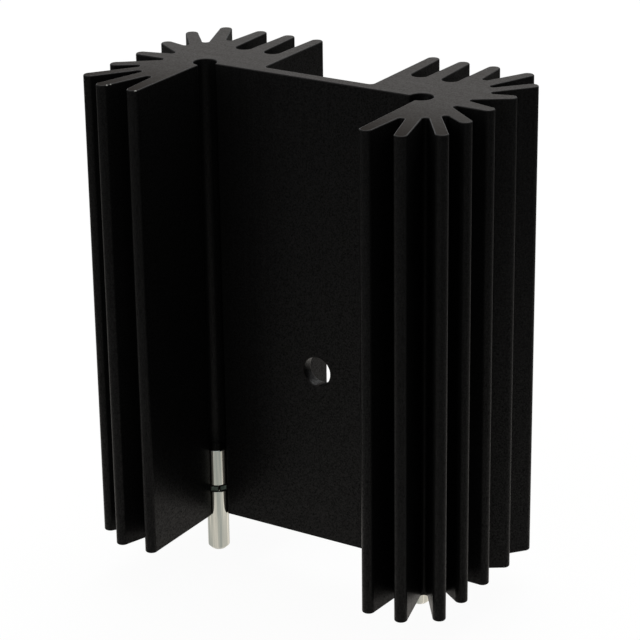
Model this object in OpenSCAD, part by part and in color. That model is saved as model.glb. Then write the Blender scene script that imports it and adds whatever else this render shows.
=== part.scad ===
// Board-mounted heat sink: a sawn length of finned extrusion with two solder pins.
// Sizes are in millimetres. X runs across the width, the device side faces -Y and Z points up from the board.
// The origin lies midway between the two pins, on the sawn end that meets the board.

/* [Extrusion] */
// Overall width across the side fins
body_w = 41.91; // [39:0.01:46]
// Overall depth from the front fin tips to the back fin tips
body_d = 25.4; // [24:0.1:28]
// Sawn length, which is the height above the board
body_h = 50.8; // [25.4:0.1:76.2]
// How far the middle of the depth lies behind the pin line
depth_offset = 0.4; // [0:0.05:0.8]

/* [Web and channels] */
// Thickness of the web between the two fin clusters
web_t = 1.4; // [1.2:0.05:2.4]
// How far the web's front face lies in front of the pin line
web_front = 0.05; // [0:0.05:0.6]
// Width of the back channel
back_channel_w = 12.7; // [11.5:0.1:13.5]
// Radius in the corners of the back channel
back_corner_r = 0.5; // [0.3:0.1:1.5]

/* [Device hole] */
// Diameter of the hole through the web
hole_d = 3.18; // [2.5:0.01:4]
// Height of the hole above the sawn end
hole_z = 19.2; // [9:0.05:22]
// How far the hole is drilled to the right of the middle
hole_x = 0.3; // [-1:0.1:1]

/* [Fins] */
// Thickness of every fin at its round tip
fin_tip_t = 1.35; // [1:0.05:1.5]
// Tip distance between the two front fins
front_pitch = 3.75; // [3.4:0.05:4.1]
// Tip distance between the five side fins
side_pitch = 4.55; // [4.3:0.05:4.7]
// How far the middle side fin lies in front of the pin line
side_fin_offset = 0.37; // [0:0.01:0.7]
// Tip distance between the three inner back fins
back_pitch = 3.5; // [3.3:0.05:3.7]
// Tip distance from the third back fin to the corner fin
corner_fin_pitch = 4.1; // [3.8:0.05:4.4]
// How far the corner fin stops short of the other back fins
corner_fin_drop = 0.48; // [0:0.02:0.8]

/* [Gaps between the fins] */
// How far the point that the fins spread from lies outside the front channel's side
spread_x = 0.9; // [0.5:0.1:1.4]
// How far that point lies behind the pin line
spread_y = 0.4; // [0:0.1:0.8]
// Radius at the bottom of a gap between spreading fins
gap_r = 0.38; // [0.25:0.01:0.45]
// Reach from the spread point to the gap between the two front fins
reach_front = 7.9; // [7.2:0.1:9]
// Reach to the gap between the front fins and the side fins
reach_front_corner = 7.3; // [6.5:0.1:8.5]
// Reach to the first gap between the side fins
reach_side_1 = 6.7; // [6:0.1:7.5]
// Reach to the second gap between the side fins
reach_side_2 = 4.2; // [3.6:0.1:5]
// Reach to the third gap between the side fins
reach_side_3 = 4.3; // [3.6:0.1:5]
// Reach to the fourth gap between the side fins
reach_side_4 = 6.4; // [5.4:0.1:7]
// Reach to the gap between the side fins and the corner fin
reach_back_corner = 7.2; // [6.4:0.1:8.2]
// Reach to the gap between the corner fin and the back fins
reach_back = 8.3; // [7.2:0.1:9]
// Radius at the bottom of the two gaps between the inner back fins
back_gap_r = 0.9; // [0.5:0.05:1]
// Depth of those two gaps from the fin tips
back_gap_depth = 7.3; // [5:0.1:8]

/* [Solder pins] */
// Distance between the two pins, the same as between their holes in the board
pin_spacing = 25.4; // [24.4:0.1:26.4]
// How far each pin's axis lies outside the front channel's side
pin_inset = 0; // [0:0.05:0.3]
// Diameter of a pin's tail, which goes through the board
tail_d = 2.36; // [2:0.02:2.38]
// Diameter of a pin's shank, which is pressed into the slot
shank_d = 2.4; // [2.38:0.02:2.6]
// How far the shank shows below the sawn end
shank_drop = 0.2; // [0.15:0.05:0.4]
// Length of a pin that sits in its slot
pin_seat = 7.7; // [5:0.1:12]
// Length of a pin below the sawn end
pin_tail = 4.3; // [2.5:0.1:6]
// Chamfer on the end of the tail, which leads it into the board
tail_chamfer = 0.4; // [0.1:0.05:0.6]
// Chamfer on the end of the shank
shank_chamfer = 0.05; // [0.05:0.05:0.4]
// Height of the middle of the staking groove above the sawn end
groove_z = 3.2; // [2:0.05:4]
// Width of the staking groove
groove_w = 0.8; // [0.5:0.05:1.2]
// Depth of the staking groove
groove_depth = 0.3; // [0.15:0.05:0.5]

/* [Pin slots] */
// Gap between a pin's shank and the wall of its slot
pin_fit = 0.02; // [0.01:0.01:0.1]
// Radius of the two lips at a slot's mouth
slot_lip_r = 0.25; // [0.15:0.05:0.35]
// Gap left between the tips of the two staked lips, in degrees round the pin
stake_gap = 2; // [2:1:20]
// How far each staked lip runs back into the slot's wall, in degrees round the pin
stake_root = 14; // [10:1:30]
// Thickness of the slot's wall that a staked lip grows from
stake_wall = 0.12; // [0.05:0.01:0.2]
// Gap between a staked lip and the groove
stake_fit = 0.05; // [0.02:0.01:0.1]

/* [Hidden] */
$fn = 48;
// The round ends stand this much proud of the flanks, so that arcs and flanks cross cleanly
seam = 0.01;
past_face = 1;
front_y = depth_offset - body_d / 2;
back_y = depth_offset + body_d / 2;
web_front_y = -web_front;
web_back_y = web_front_y + web_t;
pin_x = pin_spacing / 2;
tail_r = tail_d / 2;
shank_r = shank_d / 2;
slot_r = shank_r + pin_fit;
groove_r = shank_r - groove_depth;
channel_x = pin_x - pin_inset;
back_x = back_channel_w / 2;
tip_r = fin_tip_t / 2;
spread = [channel_x + spread_x, spread_y];
radial_reach = [
    reach_front, reach_front_corner, reach_side_1, reach_side_2,
    reach_side_3, reach_side_4, reach_back_corner, reach_back
];

// Fin tips of the right cluster, from the front channel round to the back one
front_tips = [for (i = [0:1]) [channel_x + tip_r - seam + i * front_pitch, front_y + tip_r]];
side_tips = [for (i = [-2:2]) [body_w / 2 - tip_r, i * side_pitch - side_fin_offset]];
back_tips = [for (i = [2:-1:0]) [back_x + tip_r - seam + i * back_pitch, back_y - tip_r]];
corner_tip = back_tips[0] + [corner_fin_pitch, -corner_fin_drop];
fin_tips = concat(front_tips, side_tips, [corner_tip], back_tips);

// Bottom of the gap behind a fin tip: on a ray from the spread point, or straight in between parallel fins
function gap_middle(i) = (fin_tips[i] + fin_tips[i + 1]) / 2;
function ray(i) = (gap_middle(i) - spread) / norm(gap_middle(i) - spread);
function gap_bottom(i) =
    i < len(radial_reach)
        ? spread + radial_reach[i] * ray(i)
        : [gap_middle(i).x, back_y - back_gap_depth + back_gap_r];
function gap_radius(i) = i < len(radial_reach) ? gap_r : back_gap_r;

// A slot's lips: each touches its wall's face and the round of the slot
lip_reach = slot_r + slot_lip_r - seam;
web_lip_dy = web_front_y + slot_lip_r - seam;
web_lip = [pin_x - sqrt(lip_reach ^ 2 - web_lip_dy ^ 2), web_lip_dy];
fin_lip_dx = slot_lip_r - seam - pin_inset;
fin_lip = [pin_x + fin_lip_dx, -sqrt(lip_reach ^ 2 - fin_lip_dx ^ 2)];
function angle_round_pin(spot) = (atan2(spot.y, spot.x - pin_x) + 360) % 360;
web_lip_angle = angle_round_pin(web_lip);
fin_lip_angle = angle_round_pin(fin_lip);
mouth_middle = (web_lip_angle + fin_lip_angle) / 2;

// The outline is a chain of circles: [centre, radius, side], with side 1 for a round end of metal
// and -1 for the bottom of a gap. The chain runs with the metal on its left.
function metal(centre, radius) = [centre, radius, 1];
function hollow(centre, radius) = [centre, radius, -1];
fin_circles = [
    for (i = [0:len(fin_tips) - 1])
        each [
            metal(fin_tips[i], tip_r),
            if (i < len(fin_tips) - 1) hollow(gap_bottom(i), gap_radius(i))
        ]
];
right_circles = concat(
    [metal(web_lip, slot_lip_r), hollow([pin_x, 0], slot_r), metal(fin_lip, slot_lip_r)],
    fin_circles,
    [hollow([back_x - back_corner_r + seam, web_back_y + back_corner_r - seam], back_corner_r)]
);
function mirrored(circle) = [[-circle[0].x, circle[0].y], circle[1], circle[2]];
left_circles = [for (i = [len(right_circles) - 1:-1:0]) mirrored(right_circles[i])];
outline = concat(right_circles, left_circles);

// The straight flank from circle a to circle b touches both, each drawn in by the seam
function bend(c) = c[2] * (c[1] - seam);
function heading(a, b) =
    let (run = b[0] - a[0])
    atan2(run.y, run.x) - asin((bend(b) - bend(a)) / norm(run));
function touch(c, angle) = c[0] + bend(c) * [sin(angle), -cos(angle)];
flanks = [
    for (i = [0:len(outline) - 1])
        let (a = outline[i], b = outline[(i + 1) % len(outline)])
            each [touch(a, heading(a, b)), touch(b, heading(a, b))]
];

module rounds(side) {
    for (c = outline)
        if (c[2] == side) translate(c[0]) circle(c[1]);
}

module profile() {
    difference() {
        union() {
            polygon(flanks);
            rounds(1);
        }
        rounds(-1);
    }
}

// One lip in section: rooted in the slot's wall, with the flat that the punch leaves on its outside
function round_pin(radius, angle) = radius * [cos(angle), sin(angle)];
module staked_lip(root, lip, tip) {
    polygon([
        [0, 0],
        round_pin(slot_r + stake_wall, root),
        round_pin(slot_r + stake_wall, lip),
        round_pin(shank_r, tip)
    ]);
}

// The lips of the right slot, punched over the pin so that they lie in its groove
module staked_lips() {
    translate([pin_x, 0, groove_z - groove_w / 2 + stake_fit])
        linear_extrude(groove_w - 2 * stake_fit)
            difference() {
                union() {
                    staked_lip(web_lip_angle - stake_root, web_lip_angle, mouth_middle - stake_gap / 2);
                    staked_lip(fin_lip_angle + stake_root, fin_lip_angle, mouth_middle + stake_gap / 2);
                }
                circle(groove_r + stake_fit);
            }
}

module device_hole() {
    translate([hole_x, web_back_y + past_face, hole_z])
        rotate([90, 0, 0])
            cylinder(d = hole_d, h = web_t + 2 * past_face);
}

module finned_extrusion() {
    color("#1b1a19") {
        difference() {
            linear_extrude(body_h) profile();
            device_hole();
        }
        staked_lips();
        mirror([1, 0, 0]) staked_lips();
    }
}

// A turned pin standing on the Z axis
module solder_pin() {
    groove_low = groove_z - groove_w / 2;
    groove_high = groove_z + groove_w / 2;
    rotate_extrude()
        polygon([
            [0, -pin_tail],
            [tail_r - tail_chamfer, -pin_tail],
            [tail_r, tail_chamfer - pin_tail],
            [tail_r, -shank_drop],
            [shank_r, -shank_drop],
            [shank_r, groove_low],
            [groove_r, groove_low],
            [groove_r, groove_high],
            [shank_r, groove_high],
            [shank_r, pin_seat - shank_chamfer],
            [shank_r - shank_chamfer, pin_seat],
            [0, pin_seat]
        ]);
}

module solder_pin_left() {
    color("#c9cccb") translate([-pin_x, 0, 0]) solder_pin();
}

module solder_pin_right() {
    color("#c9cccb") translate([pin_x, 0, 0]) solder_pin();
}

finned_extrusion();
solder_pin_left();
solder_pin_right();
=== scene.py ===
import math

import bpy
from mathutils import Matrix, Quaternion, Vector


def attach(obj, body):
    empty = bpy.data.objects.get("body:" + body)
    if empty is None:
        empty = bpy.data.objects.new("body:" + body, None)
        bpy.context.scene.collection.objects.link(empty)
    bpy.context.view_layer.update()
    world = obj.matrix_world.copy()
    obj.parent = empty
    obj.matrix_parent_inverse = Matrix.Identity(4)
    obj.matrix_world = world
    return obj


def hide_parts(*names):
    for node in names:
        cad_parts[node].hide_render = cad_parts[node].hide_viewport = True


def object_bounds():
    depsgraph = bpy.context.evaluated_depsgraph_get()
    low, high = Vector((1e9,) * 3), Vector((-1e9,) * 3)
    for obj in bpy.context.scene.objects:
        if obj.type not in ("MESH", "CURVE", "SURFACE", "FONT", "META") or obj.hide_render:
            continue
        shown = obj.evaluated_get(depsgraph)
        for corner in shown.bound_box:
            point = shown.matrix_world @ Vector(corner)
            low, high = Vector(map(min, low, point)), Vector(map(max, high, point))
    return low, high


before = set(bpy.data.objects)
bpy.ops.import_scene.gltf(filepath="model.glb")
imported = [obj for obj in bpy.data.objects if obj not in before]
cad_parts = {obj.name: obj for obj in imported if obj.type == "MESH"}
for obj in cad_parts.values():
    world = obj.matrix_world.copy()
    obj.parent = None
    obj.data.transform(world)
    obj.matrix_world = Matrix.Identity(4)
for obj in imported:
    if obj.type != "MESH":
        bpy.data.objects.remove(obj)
cadLow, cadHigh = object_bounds()
mm = 0.001  # the frame is in metres, sizes below are in millimetres
print("frame loaded:", len(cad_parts), "nodes")


def linear(hexColour):
    # sRGB hex to linear RGBA
    channels = [int(hexColour[i:i + 2], 16) / 255 for i in (1, 3, 5)]
    return [c / 12.92 if c <= 0.04045 else ((c + 0.055) / 1.055) ** 2.4 for c in channels] + [1.0]


def addNode(tree, kind, settings=None, links=None):
    # settings are the node's own properties or the values of its inputs,
    # links feed an input from an output, or from the first output of a node
    node = tree.nodes.new(kind)
    for key, value in (settings or {}).items():
        if isinstance(key, str) and hasattr(node, key):
            setattr(node, key, value)
        else:
            node.inputs[key].default_value = value
    for key, source in (links or {}).items():
        output = source.outputs[0] if isinstance(source, bpy.types.Node) else source
        tree.links.new(output, node.inputs[key])
    return node


def newMaterial(name):
    material = bpy.data.materials.new(name)
    material.use_nodes = True
    material.node_tree.nodes.clear()
    return material


# A noise has patches about one unit across, so the mapping in front of it sets their real size
noise = {"Scale": 1.0, "Detail": 2.0, "Roughness": 0.6}
noiseMiddle = {"From Min": 0.3, "From Max": 0.7}  # nearly all of a noise's values lie between these
mixedColour = 2  # the number of a mix node's colour output


def perPatch(size):
    # the mapping scale for patches of this size
    return [1 / (side * mm) for side in size]


def overRange(limits):
    # settings that stretch a noise over the range between two values
    return {**noiseMiddle, "To Min": limits[0], "To Max": limits[1]}


def betweenColours(dark, light):
    # settings that mix two colours, at the colour inputs A and B
    return {"data_type": "RGBA", 6: linear(dark), 7: linear(light)}


meshWork = {
    "weld": 0.0005,      # merge distance in mm
    "flatUpTo": 0.3,     # degrees between faces that are joined to one flat face
    "edgeSegments": 3,   # faces across a broken edge
    "edgeProfile": 0.5,  # a round one
    "faceWeight": 100,   # large faces keep their flat shading
}


def copyOfNode(nodeName, pieceName):
    # a welded copy of a CAD node, with its flat faces made whole again
    bpy.ops.object.select_all(action="DESELECT")
    piece = bpy.data.objects.new(pieceName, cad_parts[nodeName].data.copy())
    bpy.context.collection.objects.link(piece)
    bpy.context.view_layer.objects.active = piece
    piece.select_set(True)
    piece.data.materials.clear()
    bpy.ops.mesh.customdata_custom_splitnormals_clear()
    bpy.ops.object.mode_set(mode="EDIT")
    bpy.ops.mesh.select_all(action="SELECT")
    bpy.ops.mesh.remove_doubles(threshold=meshWork["weld"] * mm)
    bpy.ops.mesh.mark_sharp(clear=True)
    bpy.ops.mesh.dissolve_limited(angle_limit=math.radians(meshWork["flatUpTo"]))
    bpy.ops.object.mode_set(mode="OBJECT")
    return piece


def breakEdges(piece, radius, fromDegrees, keptSharp, materialIndex=0):
    # rounds the edges that are sharper than the angle, but for those between two heights
    bpy.ops.object.mode_set(mode="EDIT")
    bpy.ops.mesh.select_mode(type="EDGE")
    bpy.ops.mesh.select_all(action="DESELECT")
    bpy.ops.mesh.edges_select_sharp(sharpness=math.radians(fromDegrees))
    bpy.ops.object.mode_set(mode="OBJECT")
    low, high = keptSharp
    points = piece.data.vertices
    for edge in piece.data.edges:
        middle = (points[edge.vertices[0]].co + points[edge.vertices[1]].co) / 2 / mm
        edge.select = edge.select and not low < middle.z < high
    bpy.ops.object.mode_set(mode="EDIT")
    bpy.ops.mesh.bevel(offset=radius * mm, segments=meshWork["edgeSegments"],
                       profile=meshWork["edgeProfile"], clamp_overlap=False, material=materialIndex)
    bpy.ops.object.mode_set(mode="OBJECT")


def finishNormals(piece, smoothDegrees):
    bpy.ops.object.shade_smooth_by_angle(angle=math.radians(smoothDegrees))
    bpy.ops.object.modifier_add(type="WEIGHTED_NORMAL")
    weighted = piece.modifiers[-1]
    weighted.keep_sharp = True
    weighted.weight = meshWork["faceWeight"]
    bpy.ops.object.modifier_apply(modifier=weighted.name)


# Black anodised aluminium, as extruded: a near-black satin with a fine etched grain that only shines
# at a glancing angle, and faint lines from the die along the length
extrudedWall = {
    "dark": "#060606",
    "light": "#0b0b0b",
    "ior": 1.6,
    "roughness": (0.32, 0.4),
    "specular": (0.01, 0.11),
    "dieLine": (0.22, 0.22, 45),  # drawn coarser than real so that the lines show
    "dieLineDetail": 3.0,
    "dieLineDepth": 0.002,
    "grain": (0.16, 0.16, 0.16),  # the etched grain under the anodic layer, also drawn coarser
    "grainDepth": 0.0015,
}


def blackAnodise():
    look = extrudedWall
    material = newMaterial("blackAnodisedAluminium")
    tree = material.node_tree
    place = addNode(tree, "ShaderNodeTexCoord").outputs["Object"]
    linePlace = addNode(tree, "ShaderNodeMapping", {"Scale": perPatch(look["dieLine"])}, {"Vector": place})
    lines = addNode(tree, "ShaderNodeTexNoise", {**noise, "Detail": look["dieLineDetail"]},
                    {"Vector": linePlace})
    grainPlace = addNode(tree, "ShaderNodeMapping", {"Scale": perPatch(look["grain"])}, {"Vector": place})
    grain = addNode(tree, "ShaderNodeTexNoise", noise, {"Vector": grainPlace})
    colour = addNode(tree, "ShaderNodeMix", betweenColours(look["dark"], look["light"]), {0: lines})
    roughness = addNode(tree, "ShaderNodeMapRange", overRange(look["roughness"]), {"Value": lines})
    shine = addNode(tree, "ShaderNodeMapRange", overRange(look["specular"]), {"Value": grain})
    lineBump = addNode(tree, "ShaderNodeBump", {"Strength": 1.0, "Distance": look["dieLineDepth"] * mm},
                       {"Height": lines})
    grainBump = addNode(tree, "ShaderNodeBump", {"Strength": 1.0, "Distance": look["grainDepth"] * mm},
                        {"Height": grain, "Normal": lineBump})
    shader = addNode(tree, "ShaderNodeBsdfPrincipled", {"IOR": look["ior"]}, {
        "Base Color": colour.outputs[mixedColour], "Roughness": roughness,
        "Specular IOR Level": shine, "Normal": grainBump,
    })
    addNode(tree, "ShaderNodeOutputMaterial", None, {"Surface": shader})
    return material


# The sawn ends, anodised after the cut: a warmer, greyer satin with fine saw lines and the same grain,
# with painted shade that dulls the shine towards the front
sawnFace = {
    "dark": "#1f1c1a",
    "light": "#272421",
    "ior": 1.6,
    "roughness": (0.34, 0.42),
    "specular": (0.001, 0.027),
    "fade": (-14, 4),             # depth in mm over which the painted shade at the front gives way to full shine
    "grain": (0.16, 0.16, 0.16),
    "grainShare": (0.4, 1.6),     # how much the grain changes the shine
    "sawLine": (9, 0.3, 9),
    "sawLineDetail": 4.0,
    "sawLineTurn": 12,            # degrees
    "sawLineDepth": 0.002,
}


def sawnEnd():
    look = sawnFace
    material = newMaterial("sawnAnodisedAluminium")
    tree = material.node_tree
    place = addNode(tree, "ShaderNodeTexCoord").outputs["Object"]
    linePlace = addNode(tree, "ShaderNodeMapping", {
        "Rotation": (0, 0, math.radians(look["sawLineTurn"])), "Scale": perPatch(look["sawLine"]),
    }, {"Vector": place})
    lines = addNode(tree, "ShaderNodeTexNoise", {**noise, "Detail": look["sawLineDetail"]},
                    {"Vector": linePlace})
    grainPlace = addNode(tree, "ShaderNodeMapping", {"Scale": perPatch(look["grain"])}, {"Vector": place})
    grain = addNode(tree, "ShaderNodeTexNoise", noise, {"Vector": grainPlace})
    grainShare = addNode(tree, "ShaderNodeMapRange", overRange(look["grainShare"]), {"Value": grain})
    # painted shade: the shine dulls towards the front, where the light falls off
    depth = addNode(tree, "ShaderNodeSeparateXYZ", None, {"Vector": place}).outputs["Y"]
    front, back = look["fade"]
    dull, bright = look["specular"]
    fade = addNode(tree, "ShaderNodeMapRange", {
        "interpolation_type": "SMOOTHSTEP", "From Min": front * mm, "From Max": back * mm,
        "To Min": dull, "To Max": bright,
    }, {"Value": depth})
    shine = addNode(tree, "ShaderNodeMath", {"operation": "MULTIPLY"}, {0: fade, 1: grainShare})
    colour = addNode(tree, "ShaderNodeMix", betweenColours(look["dark"], look["light"]), {0: lines})
    roughness = addNode(tree, "ShaderNodeMapRange", overRange(look["roughness"]), {"Value": lines})
    lineBump = addNode(tree, "ShaderNodeBump", {"Strength": 1.0, "Distance": look["sawLineDepth"] * mm},
                       {"Height": lines})
    shader = addNode(tree, "ShaderNodeBsdfPrincipled", {"IOR": look["ior"]}, {
        "Base Color": colour.outputs[mixedColour], "Roughness": roughness,
        "Specular IOR Level": shine, "Normal": lineBump,
    })
    addNode(tree, "ShaderNodeOutputMaterial", None, {"Surface": shader})
    return material


# Anodised aluminium worn at the broken edges of the sawn ends: a black satin line, with bare metal
# glinting in a few nicks
edgeWear = {
    "black": "#0c0b0a",
    "bare": "#62625f",
    "roughness": 0.36,
    "specular": 0.08,
    "nicks": (
        # place and radius in mm, at the top of the two front fins left of the channel
        ((-12.8, -12.02, 50.75), 0.18),
        ((-16.46, -11.76, 50.75), 0.14),
        ((-16.32, -11.33, 50.75), 0.12),
    ),
    "nickCore": 0.6,  # share of the radius that is bare all over
}


def wornEdge():
    look = edgeWear
    material = newMaterial("wornAnodisedEdge")
    tree = material.node_tree
    place = addNode(tree, "ShaderNodeTexCoord").outputs["Object"]
    bare = None
    for spot, radius in look["nicks"]:
        away = addNode(tree, "ShaderNodeVectorMath", {"operation": "DISTANCE", 1: Vector(spot) * mm},
                       {0: place}).outputs["Value"]
        nick = addNode(tree, "ShaderNodeMapRange", {
            "From Min": radius * mm, "From Max": look["nickCore"] * radius * mm,
        }, {"Value": away})
        if bare:
            nick = addNode(tree, "ShaderNodeMath", {"operation": "MAXIMUM"}, {0: bare, 1: nick})
        bare = nick
    colour = addNode(tree, "ShaderNodeMix", betweenColours(look["black"], look["bare"]), {0: bare})
    shader = addNode(tree, "ShaderNodeBsdfPrincipled", {
        "Specular IOR Level": look["specular"], "Roughness": look["roughness"],
    }, {"Base Color": colour.outputs[mixedColour], "Metallic": bare})
    addNode(tree, "ShaderNodeOutputMaterial", None, {"Surface": shader})
    return material


# Anodised aluminium bruised where the slots' lips were punched over the pins: a dull, mottled green grey
stakedLip = {
    "dark": "#3b453e",
    "light": "#5f6b62",
    "ior": 1.6,
    "roughness": 0.5,
    "specular": 0.06,
    "bruise": (0.3, 0.3, 0.3),
    "pinX": 12.7,
    "reach": 1.5,          # how far round the pin, in mm
    "height": (2.7, 3.7),  # above the sawn end, in mm
}


def bruisedLip():
    look = stakedLip
    material = newMaterial("bruisedAnodise")
    tree = material.node_tree
    place = addNode(tree, "ShaderNodeTexCoord").outputs["Object"]
    bruisePlace = addNode(tree, "ShaderNodeMapping", {"Scale": perPatch(look["bruise"])}, {"Vector": place})
    bruise = addNode(tree, "ShaderNodeTexNoise", noise, {"Vector": bruisePlace})
    share = addNode(tree, "ShaderNodeMapRange", overRange((0, 1)), {"Value": bruise})
    colour = addNode(tree, "ShaderNodeMix", betweenColours(look["dark"], look["light"]), {0: share})
    shader = addNode(tree, "ShaderNodeBsdfPrincipled", {
        "IOR": look["ior"], "Specular IOR Level": look["specular"], "Roughness": look["roughness"],
    }, {"Base Color": colour.outputs[mixedColour]})
    addNode(tree, "ShaderNodeOutputMaterial", None, {"Surface": shader})
    return material


def onStakedLip(spot):
    low, high = stakedLip["height"]
    fromPin = math.hypot(abs(spot.x) - stakedLip["pinX"], spot.y)
    return low < spot.z < high and fromPin < stakedLip["reach"]


extrusion = {
    "level": 0.99,        # a face whose normal is this upright is a sawn end
    "edgeBreak": 0.12,
    "sharpFrom": 60,      # degrees
    "smooth": 32,         # degrees
    "keptSharp": (1, 8),  # heights in mm between which the thin staked lips keep their edges
}


def finnedExtrusion():
    piece = copyOfNode("finned_extrusion", "finnedExtrusion")
    wall, edge, sawn, lip = range(4)
    for material in (blackAnodise(), wornEdge(), sawnEnd(), bruisedLip()):
        piece.data.materials.append(material)
    for face in piece.data.polygons:
        if onStakedLip(face.center / mm):
            face.material_index = lip
        elif abs(face.normal.z) > extrusion["level"]:
            face.material_index = sawn
        else:
            face.material_index = wall
    breakEdges(piece, extrusion["edgeBreak"], extrusion["sharpFrom"], extrusion["keptSharp"], edge)
    finishNormals(piece, extrusion["smooth"])
    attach(piece, "root")
    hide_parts("finned_extrusion")
    print("extrusion:", len(piece.data.polygons), "faces")


# Tin plate on a turned pin: a soft grey silver with fine marks along its length, and broad streaks that are
# partly mottling and partly painted reflection
pinFinish = {
    "dark": "#86908e",
    "light": "#fbf6ea",
    "roughness": (0.06, 0.12),
    "streak": (1.1, 1.1, 20),
    "streakDetail": 1.0,
    "paintedReflectionShift": 8.05,        # turns a duller streak to the front, a painted darker reflection there
    "line": (0.22, 0.22, 9),    # fine marks from the handling, drawn coarser than real
    "lineShare": (0.2, 1),      # how much a mark dulls the plate
    "lineDepth": 0.001,
    "edgeBreak": 0.05,
    "sharpFrom": 30,            # degrees
    "smooth": 32,               # degrees
    "keptSharp": (-0.3, -0.1),  # heights in mm between which the small step keeps its edges
}


def tinPlate():
    look = pinFinish
    material = newMaterial("brightTinPlate")
    tree = material.node_tree
    place = addNode(tree, "ShaderNodeTexCoord").outputs["Object"]
    # painted reflection: the streaks run from a dull grey to near white, with a dull one to the front and
    # light ones at the sides, in place of what the tin reflects
    streakPlace = addNode(tree, "ShaderNodeMapping", {
        "Location": (look["paintedReflectionShift"], 0, 0), "Scale": perPatch(look["streak"]),
    }, {"Vector": place})
    streaksAndPaintedReflection = addNode(tree, "ShaderNodeTexNoise", {**noise, "Detail": look["streakDetail"]},
                      {"Vector": streakPlace})
    streakShare = addNode(tree, "ShaderNodeMapRange", overRange((0, 1)), {"Value": streaksAndPaintedReflection})
    linePlace = addNode(tree, "ShaderNodeMapping", {"Scale": perPatch(look["line"])}, {"Vector": place})
    lines = addNode(tree, "ShaderNodeTexNoise", noise, {"Vector": linePlace})
    lineShare = addNode(tree, "ShaderNodeMapRange", overRange(look["lineShare"]), {"Value": lines})
    tone = addNode(tree, "ShaderNodeMath", {"operation": "MULTIPLY"}, {0: streakShare, 1: lineShare})
    colour = addNode(tree, "ShaderNodeMix", betweenColours(look["dark"], look["light"]), {0: tone})
    roughness = addNode(tree, "ShaderNodeMapRange", overRange(look["roughness"]), {"Value": lines})
    lineBump = addNode(tree, "ShaderNodeBump", {"Strength": 1.0, "Distance": look["lineDepth"] * mm},
                       {"Height": lines})
    shader = addNode(tree, "ShaderNodeBsdfPrincipled", {"Metallic": 1.0}, {
        "Base Color": colour.outputs[mixedColour], "Roughness": roughness, "Normal": lineBump,
    })
    addNode(tree, "ShaderNodeOutputMaterial", None, {"Surface": shader})
    return material


def solderPins():
    plate = tinPlate()
    for side in ("left", "right"):
        nodeName = "solder_pin_" + side
        piece = copyOfNode(nodeName, "solderPin" + side.capitalize())
        piece.data.materials.append(plate)
        breakEdges(piece, pinFinish["edgeBreak"], pinFinish["sharpFrom"], pinFinish["keptSharp"])
        finishNormals(piece, pinFinish["smooth"])
        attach(piece, "root")
        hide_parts(nodeName)
    print("pins: 2")


# White paper sweep: plain white to the eye with a trace of shadow, and a fading pool of light in reflections
studio = {
    "floorSize": 3000,
    "floor": "#f4f4f2",
    "shadowShare": 0.045,  # how much of the floor's own shading the camera sees
    "pool": "#fffaf3",
    "poolRadius": 300,
    "sky": "#ffffff",
    "skyFill": 0.5,        # strength of the light from all round
    "lamps": (
        # name, place in mm, width in mm, power in watts
        ("topSoftbox", (-60, 240, 520), 500, 3.2),
        ("frontFill", (-260, -520, 330), 420, 1.2),
    ),
    "aim": (0, 0, 25),
}


def seenShare(tree, ray, share):
    # the share for rays that see the backdrop itself, 0 for those that only gather light
    seen = addNode(tree, "ShaderNodeMath", {"operation": "MAXIMUM"},
                   {0: ray.outputs["Is Camera Ray"], 1: ray.outputs["Is Glossy Ray"]})
    seen = addNode(tree, "ShaderNodeMath", {"operation": "MAXIMUM"},
                   {0: seen, 1: ray.outputs["Is Transmission Ray"]})
    return addNode(tree, "ShaderNodeMath", {"operation": "MULTIPLY", 1: share}, {0: seen})


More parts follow.
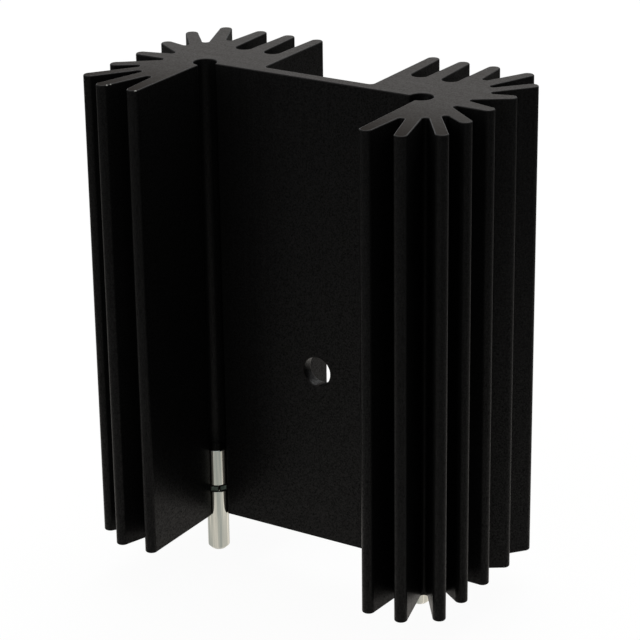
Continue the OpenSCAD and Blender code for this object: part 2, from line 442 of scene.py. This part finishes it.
def whiteFloor():
    bpy.ops.mesh.primitive_plane_add(size=studio["floorSize"] * mm, location=(0, 0, cadLow.z))
    floor = bpy.context.object
    floor.name = "floor"
    material = newMaterial("whiteSweep")
    tree = material.node_tree
    ray = addNode(tree, "ShaderNodeLightPath")
    place = addNode(tree, "ShaderNodeTexCoord").outputs["Object"]
    poolPlace = addNode(tree, "ShaderNodeMapping", {"Scale": perPatch([studio["poolRadius"]] * 3)},
                        {"Vector": place})
    fade = addNode(tree, "ShaderNodeTexGradient", {"gradient_type": "QUADRATIC_SPHERE"},
                   {"Vector": poolPlace}).outputs["Fac"]
    pool = addNode(tree, "ShaderNodeEmission", {"Color": linear(studio["pool"])}, {"Strength": fade})
    white = addNode(tree, "ShaderNodeEmission", {"Color": linear(studio["sky"]), "Strength": 1.0})
    glow = addNode(tree, "ShaderNodeMixShader", None, {0: ray.outputs["Is Glossy Ray"], 1: white, 2: pool})
    paper = addNode(tree, "ShaderNodeBsdfDiffuse", {"Color": linear(studio["floor"])})
    seen = seenShare(tree, ray, 1 - studio["shadowShare"])
    both = addNode(tree, "ShaderNodeMixShader", None, {0: seen, 1: paper, 2: glow})
    addNode(tree, "ShaderNodeOutputMaterial", None, {"Surface": both})
    floor.data.materials.append(material)


def whiteWorld():
    world = bpy.data.worlds.new("studioWhite")
    bpy.context.scene.world = world
    world.use_nodes = True
    tree = world.node_tree
    tree.nodes.clear()
    fill = addNode(tree, "ShaderNodeBackground", {"Strength": studio["skyFill"]})
    white = addNode(tree, "ShaderNodeBackground", {"Color": linear(studio["sky"]), "Strength": 1.0})
    seen = seenShare(tree, addNode(tree, "ShaderNodeLightPath"), 1)
    both = addNode(tree, "ShaderNodeMixShader", None, {0: seen, 1: fill, 2: white})
    addNode(tree, "ShaderNodeOutputWorld", None, {"Surface": both})


def softLamps():
    aim = Vector(studio["aim"]) * mm
    for name, place, width, power in studio["lamps"]:
        spot = Vector(place) * mm
        turn = (aim - spot).to_track_quat("-Z", "Y").to_euler()
        bpy.ops.object.light_add(type="AREA", location=spot, rotation=turn)
        lamp = bpy.context.object
        lamp.name = name
        lamp.data.size = width * mm
        lamp.data.energy = power
    print("stage: floor, world and", len(studio["lamps"]), "lamps")


cameraView = {
    "eye": (130.27, -207.27, 121.33),
    "aim": (0.4, 0.57, 24.83),
    "roll": -0.74,   # degrees
    "lens": 143.07,
    "sensor": 36,
    "clipStart": 1,  # nothing nearer than this is drawn
}


def placeCamera():
    eye = Vector(cameraView["eye"]) * mm
    level = (Vector(cameraView["aim"]) * mm - eye).to_track_quat("-Z", "Y")
    turn = level @ Quaternion((0, 0, 1), math.radians(cameraView["roll"]))
    bpy.ops.object.camera_add(location=eye, rotation=turn.to_euler())
    camera = bpy.context.object
    camera.data.lens = cameraView["lens"]
    camera.data.sensor_width = cameraView["sensor"]
    camera.data.clip_start = cameraView["clipStart"] * mm
    bpy.context.scene.camera = camera
    print("camera placed")


finnedExtrusion()
solderPins()
whiteFloor()
whiteWorld()
softLamps()
placeCamera()
bpy.context.scene.view_settings.view_transform = "Standard"
